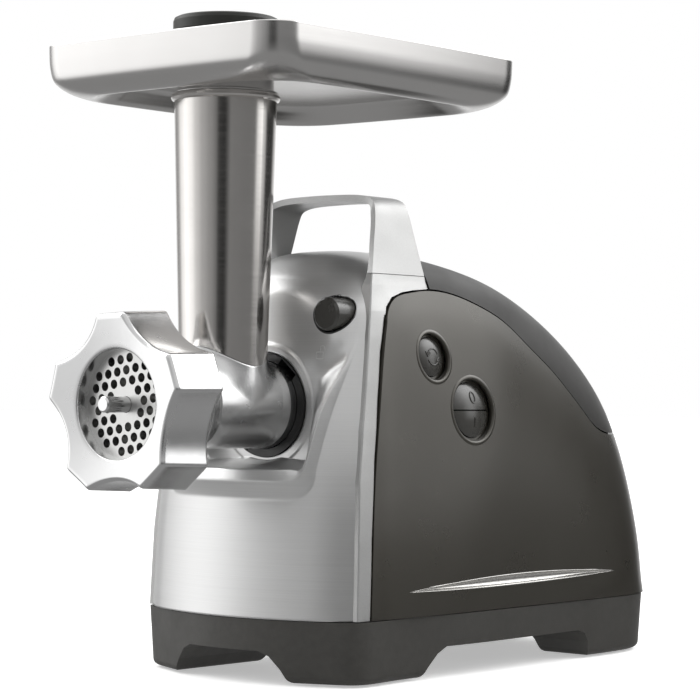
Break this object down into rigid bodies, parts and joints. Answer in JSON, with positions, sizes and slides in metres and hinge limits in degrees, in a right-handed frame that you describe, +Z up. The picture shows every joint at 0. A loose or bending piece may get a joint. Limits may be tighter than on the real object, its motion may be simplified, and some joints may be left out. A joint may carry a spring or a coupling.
{
  "type": "electric meat grinder",
  "caption": "Electric meat grinder: dark domed motor housing with carry handle, front grinding head with lobed ring nut and hole plate, feed tube, metal tray and pusher.",
  "frame": {"origin": "centre of the overall box on the floor plane under the rubber feet", "axes": "-Y points out of the grinding head (front), +X is the side with the push buttons, +Z is up"},
  "size_m": [0.1744, 0.3982, 0.3428],
  "materials": {
    "silver_satin": "satin silver lacquer",
    "front_silver": "silver with a fine horizontal grain",
    "dark_gloss": "glossy dark taupe",
    "base_grey": "fine matt grain",
    "black_plastic": "matt black",
    "button_grey": "satin",
    "pusher_grey": "fine matt grain",
    "stainless": "satin to polished stainless",
    "cast_head": "polished casting",
    "plate_steel": "ground",
    "gear_steel": "machined",
    "gear_nylon": "moulded, greased",
    "iron_core": "laminated",
    "copper": "enamelled winding",
    "bronze": "sintered",
    "carbon": "pressed carbon",
    "rubber_black": "matt",
    "board_green": "board",
    "case_grey": "moulded, ribbed"
  },
  "bodies": {
    "housing": {"base_tray": "base_grey", "rubber_feet": "rubber_black", "base_screws": "gear_steel", "front_shell": "front_silver", "right_trim": "silver_satin", "left_trim": "silver_satin", "carry_handle": "silver_satin", "right_shell": "dark_gloss", "left_shell": "dark_gloss", "spine_cover": "dark_gloss", "socket_ring": "black_plastic", "gearbox_case": "case_grey", "gearbox_cover": "case_grey", "gearbox_screws": "gear_steel", "shaft_bushes": "bronze", "idler_shaft": "gear_steel", "motor_stator": "iron_core", "stator_coils": "copper", "motor_bearings": "bronze", "motor_bracket": "gear_steel", "motor_cradle": "case_grey", "brush_holders": "bronze", "carbon_brushes": "carbon", "switch_board": "board_green", "button_bezels": "dark_gloss", "cord_gland": "rubber_black"},
    "drive": {"auger": "cast_head", "knife": "plate_steel", "output_gear": "gear_nylon", "drive_coupling": "gear_nylon"},
    "idler": {"idler_gear": "gear_nylon"},
    "rotor": {"rotor_shaft": "gear_steel", "rotor_core": "iron_core", "motor_pinion": "gear_steel", "commutator": "copper", "motor_fan": "black_plastic"},
    "head": {"head_casting": "cast_head", "feed_tube": "stainless", "auger_bush": "gear_nylon"},
    "plate": {"hole_plate": "plate_steel"},
    "nut": {"ring_nut": "cast_head"},
    "tray": {"feed_tray": "stainless"},
    "plunger": {"pusher": "pusher_grey"},
    "release": {"release_button": "button_grey", "release_plunger": "black_plastic"},
    "reverse": {"reverse_button": "button_grey"},
    "switch_off": {"off_button": "button_grey"},
    "switch_on": {"on_button": "button_grey"}
  },
  "joints": [
    {"name": "auger_spin", "type": "hinge", "parent": "housing", "child": "drive", "pos_m": [0, -0.11342, 0.1425], "axis": [0, 1, 0], "continuous": true},
    {"name": "idler_spin", "type": "hinge", "parent": "housing", "child": "idler", "pos_m": [-0.02, -0.02842, 0.09396], "axis": [0, 1, 0], "continuous": true},
    {"name": "rotor_spin", "type": "hinge", "parent": "housing", "child": "rotor", "pos_m": [0.01637, 0.03658, 0.11496], "axis": [0, 1, 0], "continuous": true},
    {"name": "head_turn", "type": "hinge", "parent": "housing", "child": "head", "pos_m": [0, -0.11342, 0.1425], "axis": [0, 1, 0], "range_deg": [0, 40]},
    {"name": "plate_out", "type": "slide", "parent": "head", "child": "plate", "axis": [0, -1, 0], "range_m": [0, 0.0061]},
    {"name": "nut_turn", "type": "hinge", "parent": "plate", "child": "nut", "pos_m": [0, -0.11342, 0.1425], "axis": [0, -1, 0], "range_deg": [0, 720]},
    {"name": "tray_lift", "type": "slide", "parent": "head", "child": "tray", "axis": [0, 0, 1], "range_m": [0, 0.06]},
    {"name": "pusher_lift", "type": "slide", "parent": "tray", "child": "plunger", "axis": [0, 0, 1], "range_m": [0, 0.125]},
    {"name": "release_press", "type": "slide", "parent": "housing", "child": "release", "axis": [0, 1, 0], "range_m": [0, 0.004], "stiffness_N_per_m": 500},
    {"name": "reverse_press", "type": "slide", "parent": "housing", "child": "reverse", "axis": [-1, 0, 0], "range_m": [0, 0.0025], "stiffness_N_per_m": 500},
    {"name": "off_press", "type": "slide", "parent": "housing", "child": "switch_off", "axis": [-1, 0, 0], "range_m": [0, 0.0025], "stiffness_N_per_m": 500},
    {"name": "on_press", "type": "slide", "parent": "housing", "child": "switch_on", "axis": [-1, 0, 0], "range_m": [0, 0.0025], "stiffness_N_per_m": 500}
  ],
  "couplings": [
    {"joint": "idler_spin", "follows": "auger_spin", "ratio": -6},
    {"joint": "rotor_spin", "follows": "auger_spin", "ratio": 36},
    {"joint": "plate_out", "follows": "nut_turn", "m_per_rad": 0.00047746}
  ]
}
